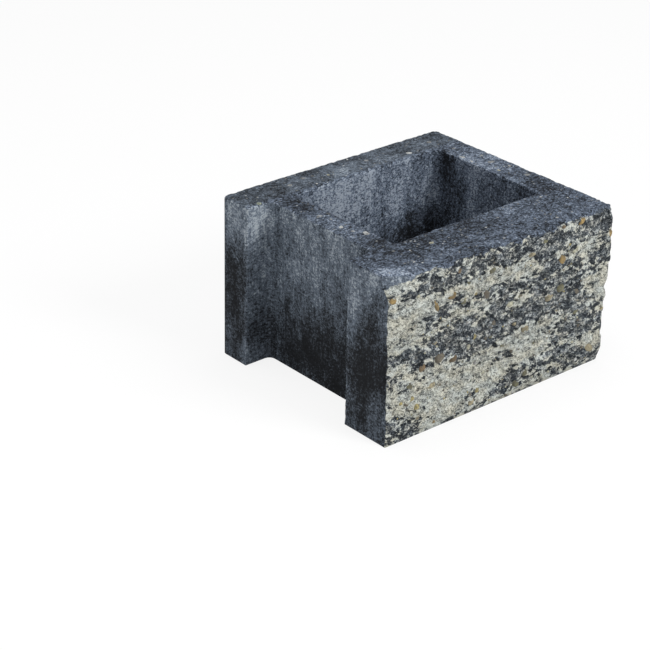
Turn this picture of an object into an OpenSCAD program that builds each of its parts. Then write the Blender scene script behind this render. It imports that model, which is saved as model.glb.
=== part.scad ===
// Hollow concrete wall block with one split face.
// Two such blocks are moulded face to face as one and broken apart along the
// split line, so three outer sides are smooth from the mould and the fourth is
// rough. X runs along the wall, Y towards the back and Z up, and the origin is
// in the middle of the underside.

/* [Block] */
// Length along the wall
block_length = 250; // [200:1:400]
// Depth from the back face to the furthest point of the split face
block_depth = 223; // [190:1:300]
// Height of one course
block_height = 150; // [100:1:250]
// Radius of the two moulded corners at the back
corner_r = 5; // [2:0.5:12]

/* [Walls, at the top] */
// Wall behind the split face, from the furthest point of that face
front_wall = 61; // [50:1:75]
// Back wall, which runs on as the horn behind the recess
back_wall = 35; // [25:1:45]
// Wall at the plain end
end_wall = 30; // [20:1:45]
// Web between the core and the recess
web_wall = 24; // [16:1:40]

/* [Core and recess] */
// Depth of the recess in the grooved end
recess_depth = 26; // [12:1:40]
// Radius of the upright inner corners, at the top
core_r = 6; // [3:0.5:12]
// How far each core wall leans out, from the top to the underside
core_draft = 2; // [0.5:0.5:4]

/* [Split face] */
// Depth of the broken relief, from its furthest point to its edges
split_relief = 10; // [4:0.5:14]
// How far the split line runs out of square, at the plain end
slant = 2; // [0:0.5:5]
// Size of the broad swells
swell = 52; // [40:1:90]
// Size of the lumps on them
lump = 20; // [14:1:36]
// Size of the knobs, where gravel stands out or has left a hollow
knob = 8; // [7:0.5:12]
// Depth of the chip out of the top corner at the grooved end
corner_chip = 11; // [0:1:16]
// Size of the facets that the broken surface is drawn with
facet = 5; // [4:0.5:14]

/* [Hidden] */

left = -block_length / 2;
right = block_length / 2;
front = -block_depth / 2;
back = block_depth / 2;

core_front = front + front_wall;
core_back = back - back_wall;
core_width = core_back - core_front;
recess_floor = left + recess_depth;
core_left = recess_floor + web_wall;
core_length = right - end_wall - core_left;

past = 2;                    // how far a cutting solid passes the face it cuts
moulded_front = front - 10;  // the moulded block goes on past the split line

// Shares of the relief
bow_share = 0.45;            // the face bows out at mid-height, at the plain end
hollow_share = 0.2;          // and falls in at the grooved end
lean_share = 0.25;           // it leans out towards the top, at the plain end
swell_share = 0.35;          // broad swells
lump_share = 0.4;            // lumps
knob_share = 0.3;            // knobs
bow_power = 6;               // how sharply the bow falls away at the edges
bite = 12;                   // height over which the straight lower edge turns rough
chip_reach = 24;             // how far the chip reaches along both edges
scatter_start = 30;          // which of all such breaks this is

// A fixed scatter of values from 0 to 1, smoothed over a square lattice
function scatter(i, j) = let (s = sin(i * 127.1 + j * 311.7 + scatter_start) * 4375.8) s - floor(s);
function ease(t) = t * t * (3 - 2 * t);
function between(a, b, t) = a + (b - a) * t;
function rough(x, z) =
    let (i = floor(x), j = floor(z), u = ease(x - i), v = ease(z - j))
    between(between(scatter(i, j), scatter(i + 1, j), u),
            between(scatter(i, j + 1), scatter(i + 1, j + 1), u), v);

function clamped(t) = min(max(t, 0), 1);

// How far the broken surface lies behind the lower corner at the grooved end, at x and z
function broken(x, z) =
    let (along = clamped((x - left) / block_length),
         bow = 1 - pow(clamped(abs(2 * z / block_height - 1)), bow_power),
         bitten = ease(clamped(z / bite)),
         chipped = clamped(1 - norm([x - left, z - block_height]) / chip_reach))
    corner_chip * ease(chipped)
    - slant * along
    - split_relief * bow * between(-hollow_share, bow_share, along)
    - split_relief * lean_share * along * z / block_height
    - split_relief * bitten * (swell_share * (rough(x / swell, z / swell) - 0.5)
        + lump_share * (rough(x / lump, z / lump) - 0.5)
        + knob_share * (rough(x / knob, z / knob) - 0.5));

// The whole side of the break that is kept, as one solid larger than the block
module kept_side() {
    columns = ceil(block_length / facet) + 2;
    rows = ceil(block_height / facet) + 2;
    step_x = block_length / (columns - 2);
    step_z = block_height / (rows - 2);
    far = back + past;
    low_x = left - step_x;
    high_x = right + step_x;
    low_z = -step_z;
    high_z = block_height + step_z;
    furthest = min([for (j = [1:rows - 1], i = [1:columns - 1])
        broken(low_x + i * step_x, low_z + j * step_z)]);
    surface = [for (j = [0:rows], i = [0:columns])
        let (x = low_x + i * step_x, z = low_z + j * step_z)
        [x, front + broken(x, z) - furthest, z]];
    corners = [[low_x, far, low_z], [high_x, far, low_z], [high_x, far, high_z], [low_x, far, high_z]];
    first = len(surface);
    function at(i, j) = j * (columns + 1) + i;
    facets = [for (j = [0:rows - 1], i = [0:columns - 1])
        each (i + j) % 2 == 0
            ? [[at(i, j), at(i, j + 1), at(i + 1, j + 1)], [at(i, j), at(i + 1, j + 1), at(i + 1, j)]]
            : [[at(i, j), at(i, j + 1), at(i + 1, j)], [at(i + 1, j), at(i, j + 1), at(i + 1, j + 1)]]];
    under = [first + 1, first, for (i = [0:columns]) at(i, 0)];
    over = [first + 3, first + 2, for (i = [columns:-1:0]) at(i, rows)];
    left_side = [first, first + 3, for (j = [rows:-1:0]) at(0, j)];
    right_side = [first + 2, first + 1, for (j = [0:rows]) at(columns, j)];
    behind = [first, first + 1, first + 2, first + 3];
    polyhedron(concat(surface, corners), concat(facets, [under, over, left_side, right_side, behind]));
}

// Outline of the block as it leaves the mould
module moulded_outline() {
    translate([left, moulded_front])
        square([block_length, back - corner_r - moulded_front]);
    translate([left + corner_r, back - 2 * corner_r])
        square([block_length - 2 * corner_r, 2 * corner_r]);
    for (x = [left + corner_r, right - corner_r])
        translate([x, back - corner_r])
            circle(r = corner_r);
}

// Upright prism with round corners, whose sides lean out towards the bottom
module drafted_core(length, width) {
    slope = core_draft / block_height;
    hull()
        for (sx = [-1, 1], sy = [-1, 1])
            translate([sx * (length / 2 - core_r), sy * (width / 2 - core_r), -past])
                cylinder(h = block_height + 2 * past,
                         r1 = core_r + slope * (block_height + past),
                         r2 = core_r - slope * past,
                         $fn = 32);
}

module core() {
    translate([core_left + core_length / 2, (core_front + core_back) / 2, 0])
        drafted_core(core_length, core_width);
}

// The recess is the half of a core that two blocks share where they meet
module recess() {
    translate([left, (core_front + core_back) / 2, 0])
        drafted_core(2 * recess_depth, core_width);
}

module block() {
    color("dimgray")
        intersection() {
            difference() {
                linear_extrude(block_height) moulded_outline();
                core();
                recess();
            }
            kept_side();
        }
}

block();
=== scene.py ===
import bpy
import bmesh
import math
import random
from mathutils import Matrix, Vector, bvhtree, kdtree, noise


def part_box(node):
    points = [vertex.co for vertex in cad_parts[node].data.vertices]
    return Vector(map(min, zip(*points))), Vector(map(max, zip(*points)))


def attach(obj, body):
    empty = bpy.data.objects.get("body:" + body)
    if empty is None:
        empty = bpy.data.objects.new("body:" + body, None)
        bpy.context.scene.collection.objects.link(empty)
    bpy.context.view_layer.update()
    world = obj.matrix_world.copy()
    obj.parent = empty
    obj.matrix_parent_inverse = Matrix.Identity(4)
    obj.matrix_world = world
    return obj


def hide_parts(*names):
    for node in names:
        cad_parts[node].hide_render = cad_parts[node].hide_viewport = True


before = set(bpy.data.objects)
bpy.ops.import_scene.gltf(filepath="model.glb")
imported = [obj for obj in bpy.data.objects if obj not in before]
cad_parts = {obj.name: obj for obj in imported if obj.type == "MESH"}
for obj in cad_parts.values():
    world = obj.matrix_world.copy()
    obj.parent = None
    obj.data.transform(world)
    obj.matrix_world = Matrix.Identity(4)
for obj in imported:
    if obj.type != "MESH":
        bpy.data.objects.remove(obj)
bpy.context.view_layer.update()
mm = 0.001
print("frame loaded")


# camera, as the photograph was taken

view = {
    "azimuth": -41.35,                      # degrees round the block
    "elevation": 27.02,
    "roll": 1.39,
    "place": (-1077.1, -1106.9, 816.2),     # millimetres
    "lens": 109.3,
    "sensor": 36,
    "nearest": 50,                          # what lies nearer isn't drawn
}


def addCamera():
    lens = bpy.data.cameras.new("camera")
    lens.lens = view["lens"]
    lens.sensor_width = view["sensor"]
    lens.clip_start = view["nearest"] * mm
    camera = bpy.data.objects.new("camera", lens)
    bpy.context.collection.objects.link(camera)
    turn = Matrix.Rotation(math.radians(view["azimuth"]), 4, "Z")
    tip = Matrix.Rotation(math.radians(90 - view["elevation"]), 4, "X")
    roll = Matrix.Rotation(math.radians(view["roll"]), 4, "Z")
    camera.matrix_world = Matrix.Translation(Vector(view["place"]) * mm) @ turn @ tip @ roll
    bpy.context.scene.camera = camera


addCamera()
print("camera set")


# shader maths: a wrapped socket, and a tree that adds nodes

class Wire:
    def __init__(self, tree, socket):
        self.tree = tree
        self.socket = socket

    def math(self, operation, *others):
        return self.tree.node("ShaderNodeMath", {"operation": operation}, dict(enumerate((self, *others))))

    def __add__(self, other):
        return self.math("ADD", other)

    def __sub__(self, other):
        return self.math("SUBTRACT", other)

    def __mul__(self, other):
        return self.math("MULTIPLY", other)

    def __rsub__(self, other):
        return self.tree.node("ShaderNodeMath", {"operation": "SUBTRACT"}, {0: other, 1: self})

    __radd__ = __add__
    __rmul__ = __mul__

    def between(self, low, high):           # 0 below low, 1 above high, eased
        settings = {"interpolation_type": "SMOOTHSTEP"}
        sockets = {"Value": self, "From Min": low, "From Max": high}
        return self.tree.node("ShaderNodeMapRange", settings, sockets)


class Finish:
    def __init__(self, name):
        self.material = bpy.data.materials.new(name)
        self.material.use_nodes = True
        self.nodes = self.material.node_tree.nodes
        self.links = self.material.node_tree.links
        self.nodes.clear()

    def node(self, kind, settings, sockets, output=0):
        made = self.nodes.new(kind)
        for name, value in settings.items():
            if name == "stops":
                self.setStops(made.color_ramp.elements, value)
            else:
                setattr(made, name, value)
        for key, value in sockets.items():
            if isinstance(value, Wire):
                self.links.new(value.socket, made.inputs[key])
            else:
                made.inputs[key].default_value = value
        return Wire(self, made.outputs[output]) if made.outputs else None

    def setStops(self, elements, stops):
        while len(elements) < len(stops):
            elements.new(0.5)
        for element, (position, colour) in zip(elements, stops):
            element.position = position
            element.color = colour

    def ramp(self, value, stops):
        return self.node("ShaderNodeValToRGB", {"stops": stops}, {"Fac": value})

    def mix(self, factor, first, second, blend="MIX"):
        settings = {"data_type": "RGBA", "blend_type": blend}
        return self.node("ShaderNodeMix", settings, {0: factor, 6: first, 7: second}, 2)

    def place(self, stretch=(1, 1, 1)):     # object coordinates in millimetres, stretched
        where = self.node("ShaderNodeTexCoord", {}, {}, "Object")
        scale = tuple(1 / (mm * s) for s in stretch)
        return self.node("ShaderNodeVectorMath", {"operation": "MULTIPLY"}, {0: where, 1: scale})

    def along(self, vector, axis):
        return self.node("ShaderNodeSeparateXYZ", {}, {"Vector": vector}, axis)

    def grain(self, size, detail, stretch=(1, 1, 1), shift=0.0, roughness=0.5):
        where = self.place([size * s for s in stretch])
        moved = self.node("ShaderNodeVectorMath", {"operation": "ADD"}, {0: where, 1: (shift, shift, shift)})
        sockets = {"Vector": moved, "Scale": 1.0, "Detail": detail, "Roughness": roughness}
        return self.node("ShaderNodeTexNoise", {}, sockets)

    def looseGrains(self, size, ragged, stretch=(1, 1, 1)):
        where = self.place([size * s for s in stretch])
        crooked = self.node("ShaderNodeTexNoise", {}, {"Vector": where, "Scale": 2.2, "Detail": 2.0}, "Color")
        pushed = self.node("ShaderNodeVectorMath", {"operation": "MULTIPLY_ADD"},
                           {0: crooked, 1: (ragged, ragged, ragged), 2: where})
        cells = self.node("ShaderNodeTexVoronoi", {}, {"Vector": pushed, "Scale": 1.0}, "Color")
        offMiddle = Wire(self, cells.socket.node.outputs["Distance"])
        tone = self.node("ShaderNodeSeparateColor", {}, {"Color": cells})
        return tone, offMiddle              # each grain's tone, and how far off its middle

    def field(self, name):                  # a value that the mesh carries
        return self.node("ShaderNodeAttribute", {"attribute_name": name}, {}, "Fac")

    def tint(self, name):                   # a colour that the mesh carries
        return self.node("ShaderNodeAttribute", {"attribute_name": name}, {}, "Color")

    def bump(self, height, depth, strength):
        sockets = {"Height": height, "Distance": depth * mm, "Strength": strength}
        return self.node("ShaderNodeBump", {}, sockets)

    def surface(self, sockets):
        shader = self.node("ShaderNodeBsdfPrincipled", {}, sockets)
        self.node("ShaderNodeOutputMaterial", {}, {"Surface": shader})
        return self.material


# block: moulded form with a through core, a recess in one end and a broken front

blockForm = {                               # millimetres, where a note says nothing else
    "mould": {
        "frontWall": 61,
        "backWall": 35,
        "endWall": 30,
        "web": 24,
        "recessDepth": 26,
        "innerRound": (6, 4),               # radius and steps
        "backRound": (5, 3),
        "draft": 2,                         # lean of the core walls, top to underside
    },
    "net": {
        "step": 5,                          # first net of faces
        "rim": 12,                          # band along an edge that gets a finer net
        "cuts": (3, 2, 1),                  # of an edge on the broken face, in the upper rim and elsewhere
    },
    "split": {                              # how the front broke; shares are of the relief
        "relief": 10,
        "slant": 2,
        "swell": 52,
        "lump": 20,
        "knob": 8,
        "cornerChip": 11,
        "chipReach": 24,
        "bowShare": 0.45,
        "hollowShare": 0.2,
        "leanShare": 0.25,
        "swellShare": 0.35,
        "lumpShare": 0.4,
        "knobShare": 0.3,
        "bowPower": 6,
        "bite": 12,
        "facet": 5,
        "scatterStart": 30,
        "scatterMix": (127.1, 311.7, 4375.8),   # up to here as in the part's source
        "fadeStop": 8,                      # the break fades out this far in front of the core
        "grit": ((5.0, 1.6), (2.6, 1.0)),   # size and depth of the finer breaks
        "gritSeed": 1.7,
        "cobble": {"spacing": 6.0, "height": 1.4, "reach": 0.55, "power": 0.7},     # bedded gravel
        "edgeGrit": 0.4,                    # share of the grit that is left at an edge
        "edgeCalm": 6,                      # and the distance over which that share grows by 1
        "settle": 1.5,                      # what would pass the furthest plane is pressed into this
    },
    "wear": {                               # rounded and crumbled edges: pairs are size and depth
        "mouldedEdge": {"least": 0.35, "crumb": (4.0, 0.7), "chip": (16.0, 1.4), "reach": 2.2},
        "splitEdge": {"least": 0.4, "crumb": (6.5, 2.6), "chip": (15.0, 3.4), "reach": 4.5},
        "sharpFrom": 0.6,                   # radians, a bend that counts as an edge
        "crumbStart": -0.1,                 # crumbs and pits are left where the noise passes this
        "crumbSeed": 3.1,
        "chipStart": 0.18,                  # and chips where it passes this
        "chipSeed": 7.7,
        "sound": 6,                         # height over which the lower edges stay sound
        "bedSink": 0.12,                    # the top lies this far below the gravel in it
        "pit": (3.6, 0.5),
        "pitSeed": 5.3,
        "paleFrom": 1.5,                    # an edge that has lost this much is at its palest
        "foot": 6,                          # height of the calmer foot of the broken face
        "wrap": 3,                          # the skin reaches this far over the top edge
        "wrapDrift": (15, 5),
        "wrapSeed": 2.2,
        "wrapChip": 12,                     # and further at the chipped corner
        "wrapFade": 5,
    },
    "marble": {                             # swirls of pale and dark mix in the broken face
        "driftSize": (26, 13),
        "driftSeed": 4.2,
        "push": (5, 3),
        "apart": (9, 3, 1),                 # from the noise that pushes along to the one that pushes up
        "depth": 0.48,                      # how far a swirl of weight 1 moves the tone
        "pale": (                           # x from the grooved end, z, half sizes, degrees of slope, weight
            (22, 105, 28, 22, 0, 1.0),
            (96, 121, 52, 8, 0, 1.0),
            (78, 98, 28, 8, -4, 0.9),
            (142, 90, 15, 7, 0, 0.9),
            (150, 115, 16, 8, -6, 0.8),
            (192, 105, 13, 5, 0, 0.8),
            (215, 120, 24, 10, -5, 0.8),
            (238, 80, 17, 15, 35, 1.1),
            (150, 59, 42, 8, 5, 1.1),
            (105, 46, 24, 10, 15, 0.9),
            (35, 42, 42, 14, 0, 0.9),
            (90, 33, 34, 10, 0, 0.8),
            (165, 43, 28, 8, 5, 0.7),
            (155, 33, 34, 5, 0, 0.8),
            (118, 20, 14, 9, 0, 0.9),
            (238, 20, 15, 10, -10, 0.8),
            (180, 7, 34, 6, 0, 0.6),
            (15, 68, 16, 6, -10, 0.7),
            (215, 31, 17, 5, -5, 0.7),
            (60, 16, 40, 10, 0, 0.5),
            (7, 136, 10, 9, 0, 0.9),
        ),
        "dark": (
            (38, 134, 42, 6, -3, 0.9),
            (114, 136, 30, 6, -8, 1.2),
            (165, 138, 32, 9, -15, 0.8),
            (232, 140, 26, 13, 0, 1.0),
            (57, 106, 20, 4, 30, 0.9),
            (42, 98, 6, 8, 0, 0.8),
            (130, 107, 13, 10, 0, 1.0),
            (172, 118, 16, 6, 0, 0.9),
            (185, 102, 30, 4, -10, 1.0),
            (75, 82, 28, 8, -20, 1.0),
            (118, 90, 17, 7, -15, 0.9),
            (28, 74, 24, 5, -12, 1.0),
            (60, 72, 27, 7, -5, 0.9),
            (110, 68, 37, 9, 0, 1.1),
            (158, 76, 42, 10, 8, 1.1),
            (198, 73, 22, 8, 0, 1.0),
            (160, 88, 15, 8, 20, 0.8),
            (216, 66, 22, 7, -12, 0.9),
            (215, 42, 20, 8, 5, 1.1),
            (190, 28, 22, 5, -8, 1.1),
            (143, 18, 22, 6, 15, 1.0),
            (137, 42, 11, 5, 0, 0.7),
            (105, 28, 14, 3, 5, 0.8),
            (97, 37, 4, 7, 0, 0.6),
            (225, 14, 28, 9, -22, 0.8),
            (10, 14, 11, 6, 0, 0.5),
            (28, 9, 8, 6, 0, 0.5),
            (65, 14, 9, 6, 0, 0.4),
            (6, 60, 9, 5, 0, 0.6),
            (236, 108, 11, 9, 0, 0.6),
            (206, 110, 13, 7, 0, 0.6),
            (205, 88, 20, 8, -10, 0.4),
        ),
    },
    "patches": (                            # x, y, z from grooved end, front and foot, three reaches, weight
        (112, 187, 124, 105, 7, 46, 1.50),  # back wall of the core
        (190, 187, 74, 44, 7, 24, -1.00),
        (26, 122, 142, 14, 72, 22, 0.90),   # head of the recess
        (26, 110, 100, 14, 60, 18, 0.40),
        (0, 206, 134, 8, 22, 26, 1.05),     # head of the back horn
        (0, 34, 142, 6, 34, 14, 0.90),      # head of the front horn
        (0, 46, 120, 10, 12, 16, 0.45),
        (9, 10, 150, 15, 15, 14, 1.35),     # top, at the chipped corner
        (238, 143, 150, 16, 36, 8, 0.85),   # top, at the plain end
        (234, 80, 150, 16, 26, 8, -0.55),
        (193, 40, 150, 36, 24, 6, 0.45),    # top, behind the broken face
        (92, 46, 150, 36, 20, 6, -0.45),
        (150, 14, 150, 110, 14, 6, 0.25),
        (158, 200, 150, 14, 12, 6, 0.40),   # top of the back wall
        # painted shade on the top of the back horn
        (18, 206, 150, 30, 16, 5, -0.75),
        (125, 200, 150, 130, 16, 5, 0.45),
        (36, 168, 150, 13, 20, 6, -1.00),   # top of the web
        (38, 70, 150, 13, 9, 6, -0.90),
        (48, 52, 150, 26, 9, 6, -0.55),
        (36, 128, 150, 14, 34, 6, 0.75),
        (0, 34, 56, 20, 40, 48, -1.15),     # foot of the front horn, painted shade
        (0, 30, 98, 10, 14, 14, -0.50),
        (0, 206, 70, 8, 17, 36, -1.25),     # foot of the back horn, painted shade
        (13, 188, 112, 14, 5, 50, 0.40),    # back wall of the recess
        (26, 188, 112, 5, 8, 60, -0.45),
        (28, 120, 25, 20, 90, 46, -0.70),   # foot of the recess, painted shade
        # painted shadow of the front horn on the recess floor
        (27, 66, 50, 8, 14, 80, -0.95),
        (27, 128, 94, 8, 36, 24, 0.55),
        (0, 56, 104, 5, 7, 44, 0.45),       # front horn, along the recess
        (0, 34, 126, 5, 11, 14, 0.45),
        (0, 58, 40, 4, 6, 50, 0.80),
        (221, 120, 120, 12, 50, 40, 0.50),  # end wall of the core
        (221, 174, 120, 8, 14, 60, -0.70),
        (125, 122, 20, 110, 70, 56, -0.50),     # deep in the core, painted shade
        (125, 222, 136, 120, 10, 26, 0.40),     # back, lime bloom above and painted shade at the foot
        (125, 222, 20, 140, 10, 40, -0.60),
        (250, 112, 136, 10, 110, 26, 0.40),     # plain end, lime bloom above and painted shade at the foot
        (250, 112, 20, 10, 130, 40, -0.60),
    ),
    "look": {                               # tones run from 0 to 1; edges, shares and sways are of a tone
        "paleMix": (                        # linear colours, from dark to pale
            (0.00, (0.048, 0.052, 0.051, 1)),
            (0.30, (0.172, 0.178, 0.162, 1)),
            (0.55, (0.328, 0.334, 0.290, 1)),
            (1.00, (0.570, 0.575, 0.515, 1)),
        ),
        "darkMix": (
            (0.00, (0.006, 0.008, 0.010, 1)),
            (0.35, (0.027, 0.032, 0.038, 1)),
            (0.60, (0.072, 0.082, 0.088, 1)),
            (0.82, (0.170, 0.182, 0.180, 1)),
            (1.00, (0.400, 0.410, 0.385, 1)),
        ),
        "skin": (
            (0.00, (0.004, 0.005, 0.007, 1)),
            (0.18, (0.009, 0.011, 0.015, 1)),
            (0.30, (0.026, 0.032, 0.041, 1)),
            (0.40, (0.049, 0.060, 0.077, 1)),
            (0.54, (0.070, 0.086, 0.111, 1)),
            (0.78, (0.140, 0.170, 0.216, 1)),
            (1.00, (0.315, 0.350, 0.388, 1)),
        ),
        "warmTint": (1.03, 1.0, 0.96, 1),   # the broken face drifts between these
        "coolTint": (0.97, 1.01, 1.08, 1),
        "hueEdge": (0.32, 0.68),
        "bedTint": (0.97, 0.995, 1.05, 1),  # the top and the core are bluer than the other sides
        "sideTint": (1.0, 1.0, 0.98, 1),
        "bedSlope": (0.5, 0.8),             # how far up a face looks, from side to bed
        "coreFade": (8, 16),                # past the recess floor and the core's end wall
        "backFade": 8,                      # the bed of the back wall isn't bluer
        "noise": {                          # size, detail, stretch, shift and roughness
            "cloud": (42, 3, (1, 1, 1), 21.0),
            "coarse": (11, 3, (1.6, 1, 0.75), 3.0),
            "medium": (3.8, 3, (1.4, 1, 0.85), 11.0),
            "fine": (1.4, 2, (1.2, 1, 0.9), 5.0),
            "fleck": (3.0, 3, (1.9, 1, 0.8), 17.0),
            "dust": (0.75, 1, (1, 1, 1), 8.0),
            "hue": (9, 2, (1.5, 1, 0.8), 31.0),
            "streak": (1.7, 3, (1, 1, 8), 2.0),
            "broadStreak": (12, 3, (1, 1, 3.5), 6.0),
            "mottle": (6, 5, (1, 1, 1), 14.0, 0.72),
        },
        "grains": {                         # size, raggedness and stretch
            "gravel": (3.4, 0.9, (1.2, 1, 0.9)),
            "sand": (1.5, 0.8, (1.15, 1, 0.9)),
            "speck": (0.95, 0.5),
        },
        "marbleSway": {"coarse": 1.2, "medium": 1.05, "gravel": 0.4},   # how far each noise moves a tone
        "gritSway": {"fine": 1.2, "dust": 1.6, "medium": 0.5, "coarse": 0.5},
        "paleSway": {"gravel": 0.4, "sand": 0.4},
        "darkSway": {"gravel": 0.75, "sand": 0.5},
        "sideSway": {"streak": 0.55, "broadStreak": 0.75, "mottle": 0.5},
        "bedSway": {"mottle": 1.0, "coarse": 0.4},
        "skinSway": {"cloud": 0.8, "medium": 0.2},
        "grainSway": {"fine": 0.6, "sand": 0.42, "speck": 0.36},
        "edgeSway": {"medium": 0.9, "gravel": 0.3},
        "marbleEdge": (0.46, 0.59),
        "darkFleck": (0.61, 0.69),
        "darkFleckShare": 0.65,
        "paleFleck": (0.30, 0.38),
        "paleFleckShare": 0.6,
        "footTone": 0.55,
        "footShare": 0.6,
        "skinTone": 0.44,
        "bloomAndShadeShare": 0.30,
        "wornTone": 0.1,
        "wornSand": 0.5,
        # dark spots in the skin, the painted shade of small pits
        "pitShade": (0.30, 0.40),
        "pitShadeShare": 0.12,
        "brightGrain": (0.86, 0.97),
        "brightMiddle": (0.25, 0.5),
        "brightShare": 0.22,
        "grainShare": 0.75,
        "coolGrain": 0.35,                  # grain is stronger where the skin is bluer
        "splitEdge": (0.40, 0.60),
        "raised": {"medium": 0.8, "fine": 0.5, "dust": 0.2},
        "sunken": {"gravel": 0.35, "sand": 0.3},
        "skinBump": 0.25,                   # share of the bump that the moulded skin has
        "bump": (1.1, 0.9),                 # depth and strength
        "roughness": 0.95,
        "sandGloss": 0.15,
        "specular": 0.25,
    },
}

touch = 0.01                                # two places this near count as one
snap = 0.0001                               # a cut this near a point goes through it
creaseAngle = 55                            # degrees, a sharper bend stays sharp
mould = blockForm["mould"]
low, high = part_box("block")
left, front, under = (low / mm)[:]
right, back, top = (high / mm)[:]
coreFront = front + mould["frontWall"]
coreBack = back - mould["backWall"]
recessFloor = left + mould["recessDepth"]
coreLeft = recessFloor + mould["web"]
coreRight = right - mould["endWall"]


def ease(t):
    return t * t * (3 - 2 * t)


def clamp(t):
    return min(max(t, 0.0), 1.0)


def blend(a, b, t):
    return a + (b - a) * t


def near(a, b):
    return abs(a - b) < touch


def scatter(i, j):
    perColumn, perRow, spread = blockForm["split"]["scatterMix"]
    s = math.sin(math.radians(i * perColumn + j * perRow + blockForm["split"]["scatterStart"])) * spread
    return s - math.floor(s)


def rough(x, z):
    i = math.floor(x)
    j = math.floor(z)
    u = ease(x - i)
    v = ease(z - j)
    lower = blend(scatter(i, j), scatter(i + 1, j), u)
    upper = blend(scatter(i, j + 1), scatter(i + 1, j + 1), u)
    return blend(lower, upper, v)


def chippedAt(x, z):                        # 1 at the chipped corner, 0 beyond its reach
    return clamp(1 - math.hypot(x - left, z - top) / blockForm["split"]["chipReach"])


def broken(x, z):                           # how far the face lies behind its lower corner at the grooved end
    form = blockForm["split"]
    along = clamp((x - left) / (right - left))
    bow = 1 - clamp(abs(2 * z / top - 1)) ** form["bowPower"]
    bitten = ease(clamp(z / form["bite"]))
    swells = form["swellShare"] * (rough(x / form["swell"], z / form["swell"]) - 0.5)
    lumps = form["lumpShare"] * (rough(x / form["lump"], z / form["lump"]) - 0.5)
    knobs = form["knobShare"] * (rough(x / form["knob"], z / form["knob"]) - 0.5)
    bows = bow * blend(-form["hollowShare"], form["bowShare"], along)
    leans = form["leanShare"] * along * z / top
    relief = bows + leans + bitten * (swells + lumps + knobs)
    return form["cornerChip"] * ease(chippedAt(x, z)) - form["slant"] * along - form["relief"] * relief


def furthestBreak():
    facet = blockForm["split"]["facet"]
    columns = math.ceil((right - left) / facet)
    rows = math.ceil(top / facet)
    places = [(left + (right - left) * i / columns, top * j / rows)
              for i in range(columns + 1) for j in range(rows + 1)]
    return min(broken(x, z) for x, z in places)


furthest = furthestBreak()


def cutAcross(bm, place, normal):
    everything = bm.verts[:] + bm.edges[:] + bm.faces[:]
    bmesh.ops.bisect_plane(bm, geom=everything, dist=snap, plane_co=place, plane_no=normal)


def mouldedBlock():
    bm = bmesh.new()
    bmesh.ops.create_grid(bm, x_segments=1, y_segments=1, size=1)
    bmesh.ops.scale(bm, verts=bm.verts, vec=((right - left) / 2, (back - front) / 2, 1))
    for x in (recessFloor, coreLeft, coreRight):
        cutAcross(bm, (x, 0, 0), (1, 0, 0))
    for y in (coreFront, coreBack):
        cutAcross(bm, (0, y, 0), (0, 1, 0))
    openings = []
    for face in bm.faces:
        x, y = face.calc_center_median()[:2]
        if coreFront < y < coreBack and (x < recessFloor or coreLeft < x < coreRight):
            openings.append(face)
    bmesh.ops.delete(bm, geom=openings, context="FACES")
    raised = bmesh.ops.extrude_face_region(bm, geom=bm.faces[:])["geom"]
    upper = [g for g in raised if isinstance(g, bmesh.types.BMVert)]
    bmesh.ops.translate(bm, verts=upper, vec=(0, 0, top))
    bmesh.ops.recalc_face_normals(bm, faces=bm.faces)
    return bm


def leanCore(bm):                           # the lower ends of the core and recess walls move out
    lean = mould["draft"]
    for v in [v for v in bm.verts if near(v.co.z, under)]:
        inside = near(v.co.x, coreLeft) or near(v.co.x, coreRight)
        groove = near(v.co.x, recessFloor) or near(v.co.x, left)
        if near(v.co.y, coreFront) and (inside or groove):
            v.co.y -= lean
        elif near(v.co.y, coreBack) and (inside or groove):
            v.co.y += lean
        else:
            continue
        v.co.x += lean * (near(v.co.x, coreRight) + near(v.co.x, recessFloor) - near(v.co.x, coreLeft))


def roundCorners(bm):                       # inside the core and the recess, and at the back
    def upright(test):
        found = []
        for e in bm.edges:
            a, b = (v.co for v in e.verts)
            if abs(a.z - b.z) > top / 2 and test(a if a.z > b.z else b):
                found.append(e)
        return found

    def innerCorner(p):
        return left + touch < p.x < coreRight + touch and (near(p.y, coreFront) or near(p.y, coreBack))

    def backCorner(p):
        return near(p.y, back) and (near(p.x, left) or near(p.x, right))

    for test, size in ((innerCorner, "innerRound"), (backCorner, "backRound")):
        radius, steps = mould[size]
        bmesh.ops.bevel(bm, geom=upright(test), offset=radius, offset_type="OFFSET",
                        segments=steps, profile=0.5, affect="EDGES", material=-1)


def netOfFaces(bm):                         # an even net, finer on the broken face and along the upper edges
    net = blockForm["net"]
    for axis, start, end in ((0, left, right), (1, front, back), (2, under, top)):
        normal = [0, 0, 0]
        normal[axis] = 1
        for i in range(1, round((end - start) / net["step"])):
            place = [0, 0, 0]
            place[axis] = start + i * net["step"]
            cutAcross(bm, place, normal)
    frontCuts, rimCuts, otherCuts = net["cuts"]

    def cutsFor(face):
        centre = face.calc_center_median()
        if centre.y < front + net["rim"]:
            return frontCuts
        if centre.z > top - net["rim"]:
            return rimCuts
        return otherCuts if centre.z > under + touch else 0

    wanted = {}
    for face in bm.faces:
        for e in face.edges:
            wanted[e] = max(wanted.get(e, 0), cutsFor(face))
    for cuts in net["cuts"]:
        edges = [e for e, n in wanted.items() if n == cuts]
        bmesh.ops.subdivide_edges(bm, edges=edges, cuts=cuts, use_grid_fill=True)
    bmesh.ops.triangulate(bm, faces=[f for f in bm.faces if len(f.verts) > 4], ngon_method="BEAUTY")
    bm.normal_update()


def perlin(p, size, seed):
    return noise.noise(Vector((p.x / size + seed, p.y / size - seed, p.z / size + 2 * seed)))


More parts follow.
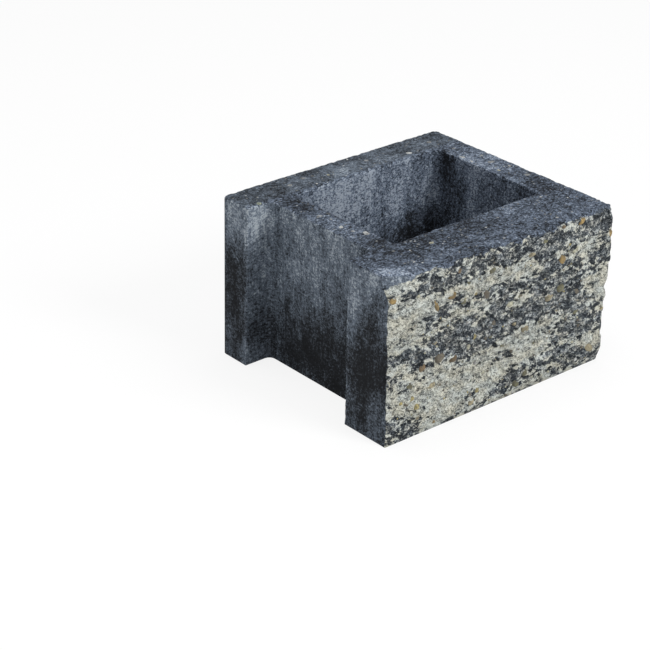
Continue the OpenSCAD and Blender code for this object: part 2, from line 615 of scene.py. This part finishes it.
def edgeLoss(p, away, edge):                # how much an edge has lost, at a point this far from it
    form = blockForm["wear"]
    crumbSize, crumbDepth = edge["crumb"]
    chipSize, chipDepth = edge["chip"]
    depth = edge["least"] + crumbDepth * max(0, perlin(p, crumbSize, form["crumbSeed"]) - form["crumbStart"])
    depth += chipDepth * max(0, perlin(p, chipSize, form["chipSeed"]) - form["chipStart"])
    return depth * (1 - clamp(away / (edge["reach"] + depth))) ** 2


def gritAt(p):                              # the finer breaks, and gravel that stands out
    form = blockForm["split"]
    depth = sum(deep * perlin(p, size, form["gritSeed"] + size) for size, deep in form["grit"])
    cobble = form["cobble"]
    nearest = noise.voronoi(p / cobble["spacing"])[0][0]
    return depth - cobble["height"] * (1 - clamp(nearest / cobble["reach"])) ** cobble["power"]


def pitAt(p):
    form = blockForm["wear"]
    size, depth = form["pit"]
    return depth * max(0, perlin(p, size, form["pitSeed"]) - form["crumbStart"])


def bareAt(p):                              # 0 where the skin wraps over the top edge, 1 below it
    form = blockForm["wear"]
    size, drift = form["wrapDrift"]
    wrap = form["wrap"] + drift * perlin(p, size, form["wrapSeed"]) + form["wrapChip"] * chippedAt(p.x, p.z)
    return clamp(0.5 + (top - p.z - wrap) / form["wrapFade"])


def swirl(x, z, middleX, middleZ, length, height, slope):
    c = math.cos(math.radians(slope))
    s = math.sin(math.radians(slope))
    u = ((x - middleX) * c + (z - middleZ) * s) / length
    v = ((z - middleZ) * c - (x - middleX) * s) / height
    return math.exp(-(u * u + v * v))


def marbleAt(x, z):                         # low is dark, high is pale
    form = blockForm["marble"]
    sizeX, sizeZ = form["driftSize"]
    pushX, pushZ = form["push"]
    drift = Vector((x / sizeX, z / sizeZ, form["driftSeed"]))
    x += pushX * noise.noise(drift)
    z += pushZ * noise.noise(drift + Vector(form["apart"]))
    pale = sum(weight * swirl(x, z, *shape) for *shape, weight in form["pale"])
    dark = sum(weight * swirl(x, z, *shape) for *shape, weight in form["dark"])
    return 0.5 + form["depth"] * (pale - dark)


def bloomAndShadeAt(x, y, z):                       # lime bloom above 0; below 0 darker, painted shade at the feet, in the recess and deep in the core
    total = 0
    for middleX, middleY, middleZ, reachX, reachY, reachZ, weight in blockForm["patches"]:
        if z > top - touch and middleZ < top:   # what lies on the walls stops at the bed
            continue
        u = (x - middleX) / reachX
        v = (y - middleY) / reachY
        w = (z - middleZ) / reachZ
        total += weight * math.exp(-(u * u + v * v + w * w))
    return total


def mouldedEdges(bm):                       # a tree that finds the nearest edge before it is worn
    bend = blockForm["wear"]["sharpFrom"]
    sharp = [v for v in bm.verts if any(e.is_manifold and e.calc_face_angle(0) > bend for e in v.link_edges)]
    tree = kdtree.KDTree(len(sharp))
    for i, v in enumerate(sharp):
        tree.insert(v.co, i)
    tree.balance()
    return tree


def wearAndBreak(bm):
    wear = blockForm["wear"]
    split = blockForm["split"]
    fields = {name: bm.verts.layers.float.new(name) for name in ("broken", "marble", "bloom", "worn", "foot")}
    tree = mouldedEdges(bm)
    fadeEnd = coreFront - split["fadeStop"]
    moves = {}
    for v in bm.verts:
        p = v.co.copy()
        onFront = p.y < front + touch
        edge, _, away = tree.find(p)
        splitEdge = edge.y < front + touch  # the nearest edge is one of the broken face
        loss = edgeLoss(p, away, wear["splitEdge" if splitEdge else "mouldedEdge"])
        loss *= ease(clamp(p.z / wear["sound"]))
        shift = -v.normal * loss
        if onFront:
            calm = ease(clamp(p.z / split["bite"])) * clamp(split["edgeGrit"] + away / split["edgeCalm"])
            shift.y += calm * gritAt(p)
        shift.y += (broken(p.x, p.z) - furthest) * clamp((fadeEnd - p.y) / (fadeEnd - front))
        if p.z > top - touch:
            shift.z -= wear["bedSink"] + pitAt(p)
        moves[v] = shift
        v[fields["broken"]] = bareAt(p) if onFront else 0.0
        v[fields["marble"]] = marbleAt(p.x - left, p.z)
        v[fields["bloom"]] = bloomAndShadeAt(p.x - left, p.y - front, p.z)
        v[fields["worn"]] = clamp(loss / wear["paleFrom"]) * (not splitEdge)
        v[fields["foot"]] = clamp(1 - p.z / wear["foot"]) if onFront else 0.0
    settle = split["settle"]
    for v, shift in moves.items():
        v.co += shift
        out = v.co.y - front
        if out < settle:
            v.co.y = front + settle * math.exp(out / settle - 1)
        v.co.x = min(max(v.co.x, left), right)
        v.co.z = min(max(v.co.z, under), top)
    bmesh.ops.recalc_face_normals(bm, faces=bm.faces)


def meshObject(bm, name, material):
    mesh = bpy.data.meshes.new(name)
    bmesh.ops.scale(bm, verts=bm.verts, vec=(mm, mm, mm))
    bm.to_mesh(mesh)
    mesh.shade_smooth()
    mesh.set_sharp_from_angle(angle=math.radians(creaseAngle))
    mesh.materials.append(material)
    piece = bpy.data.objects.new(name, mesh)
    bpy.context.collection.objects.link(piece)
    return piece


def swayed(start, tones, weights):          # moved up and down by each noise, about its middle
    for name, weight in weights.items():
        start = start + (tones[name] - 0.5) * weight
    return start


def brokenColour(m, look, tones):           # pale and dark mix, each grain with a tone of its own
    grit = swayed(0.5, tones, look["gritSway"])
    smooth = swayed(grit, tones, look["paleSway"])
    smooth = smooth + (look["footTone"] - smooth) * m.field("foot") * look["footShare"]
    pale = m.ramp(smooth, look["paleMix"])
    dark = m.ramp(swayed(grit, tones, look["darkSway"]), look["darkMix"])
    mask = swayed(m.field("marble"), tones, look["marbleSway"]).between(*look["marbleEdge"])
    darkFlecks = tones["fleck"].between(*look["darkFleck"]) * look["darkFleckShare"]
    paleFlecks = (1 - tones["fleck"].between(*look["paleFleck"])) * look["paleFleckShare"]
    mask = mask * (1 - darkFlecks) + (1 - mask) * paleFlecks
    hue = m.mix(tones["hue"].between(*look["hueEdge"]), look["warmTint"], look["coolTint"])
    return m.mix(1.0, m.mix(mask, dark, pale), hue, "MULTIPLY")


def skinColour(m, look, tones, offMiddle):  # streaks down the sides, mottled beds, pits and bright grains
    normal = m.node("ShaderNodeNewGeometry", {}, {}, "Normal")
    bed = m.along(normal, "Z").math("ABSOLUTE").between(*look["bedSlope"])
    where = m.place()
    alongX = m.along(where, "X")
    alongY = m.along(where, "Y")
    fadeStart, fadeEnd = look["coreFade"]
    pastRecess = alongX.between(recessFloor + fadeStart, recessFloor + fadeEnd)
    pastCore = alongX.between(coreRight + fadeStart, coreRight + fadeEnd)
    atBack = alongY.between(coreBack, coreBack + look["backFade"])
    cool = bed * (1 - atBack) + (1 - bed) * pastRecess * (1 - pastCore)

    side = swayed(0, tones, look["sideSway"])
    flat = swayed(0, tones, look["bedSway"])
    # painted shade of small pits
    pitShade = 1 - tones["medium"].between(*look["pitShade"])
    bright = tones["gravel"].between(*look["brightGrain"])
    bright = bright * (1 - offMiddle["gravel"].between(*look["brightMiddle"]))
    worn = m.field("worn") * (look["wornTone"] + tones["sand"] * look["wornSand"])
    # lime bloom lightens the skin, painted shade darkens it
    tone = swayed(look["skinTone"] + m.field("bloom") * look["bloomAndShadeShare"] + worn, tones, look["skinSway"])
    tone = tone + bed * flat + (1 - bed) * side - pitShade * look["pitShadeShare"] + bright * look["brightShare"]
    tone = tone + swayed(0, tones, look["grainSway"]) * (look["grainShare"] + cool * look["coolGrain"])
    cast = m.mix(cool, look["sideTint"], look["bedTint"])
    return m.mix(1.0, m.ramp(tone, look["skin"]), cast, "MULTIPLY")


def concreteFinish():
    look = blockForm["look"]
    m = Finish("pressedConcrete")
    tones = {name: m.grain(*settings) for name, settings in look["noise"].items()}
    offMiddle = {}
    for name, settings in look["grains"].items():
        tones[name], offMiddle[name] = m.looseGrains(*settings)
    split = swayed(m.field("broken"), tones, look["edgeSway"]).between(*look["splitEdge"])
    colour = m.mix(split, skinColour(m, look, tones, offMiddle), brokenColour(m, look, tones))
    height = 0
    for name, weight in look["raised"].items():
        height = height + tones[name] * weight
    for name, weight in look["sunken"].items():
        height = height - offMiddle[name] * weight
    height = height * (look["skinBump"] + split * (1 - look["skinBump"]))
    return m.surface({
        "Base Color": colour,
        "Roughness": look["roughness"] - tones["sand"] * look["sandGloss"],
        "Normal": m.bump(height, *look["bump"]),
        "Specular IOR Level": look["specular"],
    })


bm = mouldedBlock()
leanCore(bm)
roundCorners(bm)
netOfFaces(bm)
wearAndBreak(bm)
blockTree = bvhtree.BVHTree.FromBMesh(bm)
print("block shaped,", len(bm.faces), "faces")
block = meshObject(bm, "splitBlock", concreteFinish())
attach(block, "root")
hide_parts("block")


# pebbles: gravel that shows in the broken face and in the top

pebbleForm = {                              # millimetres, where a note says nothing else
    "tints": {                              # linear colours
        "ochre": (0.245, 0.165, 0.055),
        "yellow": (0.275, 0.232, 0.092),
        "olive": (0.112, 0.108, 0.058),
        "brown": (0.128, 0.086, 0.042),
        "umber": (0.102, 0.088, 0.064),
        "tan": (0.275, 0.240, 0.150),
        "pale": (0.330, 0.325, 0.245),
        "gray": (0.130, 0.136, 0.134),
        "white": (0.395, 0.405, 0.400),
        "green": (0.270, 0.310, 0.230),
        "ash": (0.205, 0.218, 0.228),
    },
    "inFace": (                             # x from the grooved end, z, length, height, tint
        (5, 130, 7, 6, "ochre"),
        (49, 115, 4.5, 11, "ochre"),
        (65, 119, 8.5, 7, "ochre"),
        (80, 109, 7, 6, "olive"),
        (108, 107, 10, 9, "umber"),
        (113, 128, 9, 5, "olive"),
        (155, 131, 9, 6, "tan"),
        (169, 139, 10, 6, "olive"),
        (189, 117, 7, 9, "ochre"),
        (192, 145, 6, 4, "brown"),
        (213, 144, 9, 6, "ochre"),
        (38, 61, 10, 6.5, "brown"),
        (57, 64, 11, 9, "umber"),
        (74, 58, 9.5, 8, "brown"),
        (89, 64, 6, 7, "pale"),
        (94, 72, 6, 4, "yellow"),
        (24, 48, 8, 5, "olive"),
        (16, 36, 6, 4, "yellow"),
        (27, 36, 7, 5, "yellow"),
        (48, 42, 9, 6, "tan"),
        (33, 27, 6, 5, "yellow"),
        (53, 6, 5, 5, "ochre"),
        (95, 11, 9, 7, "tan"),
        (103, 19, 5, 8, "yellow"),
        (157, 18, 8, 7, "olive"),
        (147, 11, 7, 6, "olive"),
        (213, 61, 9, 6, "olive"),
        (232, 20, 12, 9, "tan"),
        (179, 85, 10, 7, "tan"),
        (212, 79, 9, 6, "umber"),
        (154, 61, 8, 6, "tan"),
        (247, 125, 5, 7, "ochre"),
        (73, 138, 6, 5, "brown"),
        (136, 89, 11, 7, "pale"),
        (118, 76, 7, 6, "umber"),
        (190, 90, 9, 7, "olive"),
        (204, 122, 10, 6, "pale"),
    ),
    "inTop": (                              # x from the grooved end, y from the front, length, width, tint
        (192, 197, 8, 5, "white"),
        (46, 91, 6, 9, "white"),
        (15, 191, 6, 5, "green"),
        (75, 43, 6, 5, "pale"),
        (223.5, 161, 4, 7, "white"),
        (223.5, 148, 4, 6, "white"),
        (228, 118, 3, 5, "pale"),
        (102, 203, 4, 4, "pale"),
        (134, 196, 4, 5, "gray"),
        (240, 152, 6, 4, "ash"),
        (236, 136, 8, 5, "ash"),
        (243, 120, 5, 5, "white"),
        (240, 96, 8, 5, "ash"),
        (232, 180, 5, 4, "ash"),
        (225, 205, 6, 5, "ash"),
        (60, 205, 6, 5, "ash"),
        (80, 210, 7, 5, "ash"),
        (150, 207, 6, 5, "ash"),
        (38, 140, 6, 5, "ash"),
        (37, 112, 7, 5, "white"),
        (40, 100, 5, 4, "ash"),
    ),
    "looseInFace": {
        "count": 260,
        "size": (1.6, 4.4),
        "rim": (3, 3, 14),                  # kept clear at both ends, at the foot and below the top edge
        "tints": ("white", "pale", "pale", "gray", "gray", "gray",
                  "tan", "olive", "umber", "umber", "yellow"),
        "seed": 11,
    },
    "looseInTop": {
        "count": 420,
        "size": (1.3, 3.4),
        "rim": (3, 12),                     # kept clear at both ends and the back, and at the front
        "tints": ("ash", "ash", "gray", "gray", "gray", "white"),
        "seed": 29,
    },
    "squat": (0.6, 0.95),                   # height of a loose stone, as a share of its length
    "thickness": 0.8,                       # share of the smaller of length and height
    "bedded": 0.3,                          # share of the thickness that the middle lies below the surface
    "proud": (0.1, 0.3),
    "proudShare": 0.09,                     # and this share of the length
    "turn": 0.5,                            # radians, either way
    "tilt": 0.15,                           # slope of the broken stone, either way
    "search": 20,                           # the surface is looked for from this far outside
    "fineFrom": 5,                          # longer stones have a finer mesh
    "uneven": ((0.6, 0.34), (0.25, 0.18)),  # size and depth, as shares of the stone
    "cut": (1.5, 0.25),                     # size and depth of the roughness where the stone broke
    "cutSeed": 4.4,
    "inset": 0.02,                          # kept this far inside the block's box
    "shade": (0.75, 1.15),                  # the tint of a whole stone is multiplied by this
    "litMiddleTone": 1.12,                     # and that of its middle by this, painted light, less towards a rim of painted shade and dirt
    "rimShadeAndDirt": 0.62,
    "rimReach": 0.55,
    "mottle": (2.5, 0.35),                  # size and strength
    "mottleSeed": 6.1,
    "vein": (2.2, 3, (1, 1, 1), 4.0),       # size, detail, stretch and shift
    "veinEdge": (0.38, 0.70),
    "veinShare": 0.7,
    "veinTint": (0.06, 0.055, 0.045, 1),
    "speck": (0.6, 2, (1, 1, 1), 9.0),
    # dark specks, the painted shade of small pits in the stone
    "pitEdge": (0.30, 0.48),
    "pitShadeShare": 0.45,
    "pitShadeTint": (0.05, 0.045, 0.04, 1),
    "glintEdge": (0.58, 0.72),
    "glintShare": 0.22,
    "glintTint": (0.44, 0.44, 0.41, 1),
    "roughness": 0.62,
    "veinRoughness": 0.3,
    "speckBump": 0.5,
    "bump": (0.25, 0.6),                    # depth and strength
}


def bedStone(bm, tintAndShadeLayer, spot, inward, length, height, tint, dice):
    form = pebbleForm
    hit = blockTree.ray_cast(spot - inward * form["search"], inward)[0]
    if hit is None:
        return
    thick = form["thickness"] * min(length, height)
    proud = dice.uniform(*form["proud"]) + form["proudShare"] * length
    centre = hit + inward * thick * form["bedded"]
    turn = Matrix.Rotation(dice.uniform(-form["turn"], form["turn"]), 4, inward)
    flat = (length / 2, thick / 2, height / 2, 1) if inward.y else (length / 2, height / 2, thick / 2, 1)
    made = bmesh.ops.create_icosphere(bm, subdivisions=3 if length > form["fineFrom"] else 2, radius=1.0,
                                      matrix=Matrix.Translation(centre) @ turn @ Matrix.Diagonal(flat))
    shade = dice.uniform(*form["shade"])
    slope = form["tilt"]
    tilt = Vector((dice.uniform(-slope, slope), 0, dice.uniform(-slope, slope)))
    cutSize, cutDepth = form["cut"]
    mottleSize, mottle = form["mottle"]
    inset = form["inset"]
    for v in made["verts"]:
        away = v.co - centre
        uneven = sum(deep * perlin(v.co, size * length, (i + 1) * length)
                     for i, (size, deep) in enumerate(form["uneven"]))
        v.co = centre + away * (1 + uneven)
        cut = tilt.dot(away) + cutDepth * perlin(v.co, cutSize, form["cutSeed"]) - proud
        v.co += inward * max(0, cut - inward.dot(v.co - hit))       # the split went through the stone
        v.co.x = min(max(v.co.x, left + inset), right - inset)
        v.co.y = max(v.co.y, front + inset)
        v.co.z = min(max(v.co.z, under + inset), top - inset)
        aside = (away - inward * inward.dot(away)).length
        rim = min(1.0, aside / (form["rimReach"] * max(length, height)))
        # painted light in the middle of the stone, painted shade and dirt at its rim
        tone = form["litMiddleTone"] - form["rimShadeAndDirt"] * rim ** 3
        tone = shade * (tone + mottle * perlin(v.co, mottleSize, form["mottleSeed"]))
        v[tintAndShadeLayer] = [min(1.0, c * tone) for c in form["tints"][tint]] + [1]


def onSolid(spot, size):                    # clear of the core and the recess by the stone's own size
    across = coreFront - size < spot.y < coreBack + size
    along = spot.x < recessFloor + size or coreLeft - size < spot.x < coreRight + size
    return not (across and along)


def beddedStones():
    bm = bmesh.new()
    tintAndShadeLayer = bm.verts.layers.float_color.new("tint")
    intoFace = Vector((0, 1, 0))
    intoTop = Vector((0, 0, -1))

    loose = pebbleForm["looseInFace"]
    dice = random.Random(loose["seed"])
    for x, z, length, height, tint in pebbleForm["inFace"]:
        bedStone(bm, tintAndShadeLayer, Vector((left + x, front, z)), intoFace, length, height, tint, dice)
    for x, y, length, height, tint in pebbleForm["inTop"]:
        bedStone(bm, tintAndShadeLayer, Vector((left + x, front + y, top)), intoTop, length, height, tint, dice)
    endRim, footRim, topRim = loose["rim"]
    for i in range(loose["count"]):
        length = dice.uniform(*loose["size"])
        x = dice.uniform(left + endRim, right - endRim)
        z = dice.uniform(footRim, top - topRim)
        height = length * dice.uniform(*pebbleForm["squat"])
        tint = dice.choice(loose["tints"])
        bedStone(bm, tintAndShadeLayer, Vector((x, front, z)), intoFace, length, height, tint, dice)

    loose = pebbleForm["looseInTop"]
    dice = random.Random(loose["seed"])
    rim, frontRim = loose["rim"]
    for i in range(loose["count"]):
        length = dice.uniform(*loose["size"])
        x = dice.uniform(left + rim, right - rim)
        y = dice.uniform(front + frontRim, back - rim)
        tint = dice.choice(loose["tints"])
        spot = Vector((x, y, top))
        if onSolid(spot, length):
            height = length * dice.uniform(*pebbleForm["squat"])
            bedStone(bm, tintAndShadeLayer, spot, intoTop, length, height, tint, dice)
    return bm


def pebbleFinish():
    form = pebbleForm
    m = Finish("gravel")
    vein = m.grain(*form["vein"])
    speck = m.grain(*form["speck"])
    veins = vein.between(*form["veinEdge"]) * form["veinShare"]
    # painted shade of small pits in the stone
    pitShade = (1 - speck.between(*form["pitEdge"])) * form["pitShadeShare"]
    glints = speck.between(*form["glintEdge"]) * form["glintShare"]
    colour = m.mix(veins, m.tint("tint"), form["veinTint"])
    colour = m.mix(pitShade, colour, form["pitShadeTint"])
    colour = m.mix(glints, colour, form["glintTint"])
    return m.surface({
        "Base Color": colour,
        "Roughness": form["roughness"] + vein * form["veinRoughness"],
        "Normal": m.bump(vein + speck * form["speckBump"], *form["bump"]),
    })


stones = beddedStones()
print("pebbles bedded,", len(stones.faces), "faces")
pebbles = meshObject(stones, "pebbles", pebbleFinish())
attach(pebbles, "root")


# floor and light

studio = {
    "floor": (0.86, 0.86, 0.86, 1),
    "floorSpeck": (0.80, 0.80, 0.80, 1),
    "speck": (30, 3),                       # size in millimetres, and detail
    "speckShare": 0.05,
    "floorReach": 6000,                     # millimetres, each way from the middle
    "shadowShare": 0.16,                    # how much of the floor's own shading the camera sees
    "world": (1.0, 1.0, 1.0, 1),
    "worldStrength": 0.42,
    "aim": (0, 0, 0.07),                    # metres, where the lamps point
    "lamps": (                              # name, place and size in metres, watts
        ("key", (0.6, -1.95, 1.6), 1.0, 46),
        ("overhead", (-0.2, 0.3, 2.2), 1.6, 22),
        ("fill", (-1.9, -1.1, 0.9), 1.2, 8),
    ),
}


def addFloor():
    m = Finish("paleFloor")
    tone = m.mix(m.grain(*studio["speck"]) * studio["speckShare"], studio["floor"], studio["floorSpeck"])
    own = m.node("ShaderNodeBsdfDiffuse", {}, {"Color": tone})
    white = m.node("ShaderNodeEmission", {}, {"Color": (1, 1, 1, 1), "Strength": 1.0})
    path = m.node("ShaderNodeLightPath", {}, {}, "Is Camera Ray")
    shown = m.node("ShaderNodeMixShader", {}, {0: path * (1 - studio["shadowShare"]), 1: own, 2: white})
    m.node("ShaderNodeOutputMaterial", {}, {"Surface": shown})
    sheet = bmesh.new()
    bmesh.ops.create_grid(sheet, x_segments=4, y_segments=4, size=studio["floorReach"])
    floor = meshObject(sheet, "floor", m.material)


def addLight():
    world = bpy.data.worlds.new("studio")
    bpy.context.scene.world = world
    world.use_nodes = True
    sky = world.node_tree.nodes["Background"]
    sky.inputs["Color"].default_value = studio["world"]
    sky.inputs["Strength"].default_value = studio["worldStrength"]
    for name, place, size, watts in studio["lamps"]:
        lamp = bpy.data.lights.new(name, "AREA")
        lamp.shape = "DISK"
        lamp.size = size
        lamp.energy = watts
        stand = bpy.data.objects.new(name, lamp)
        stand.location = place
        stand.rotation_euler = (Vector(studio["aim"]) - Vector(place)).to_track_quat("-Z", "Y").to_euler()
        bpy.context.collection.objects.link(stand)


addFloor()
addLight()
bpy.context.scene.view_settings.view_transform = "Standard"
print("floor and lamps set")
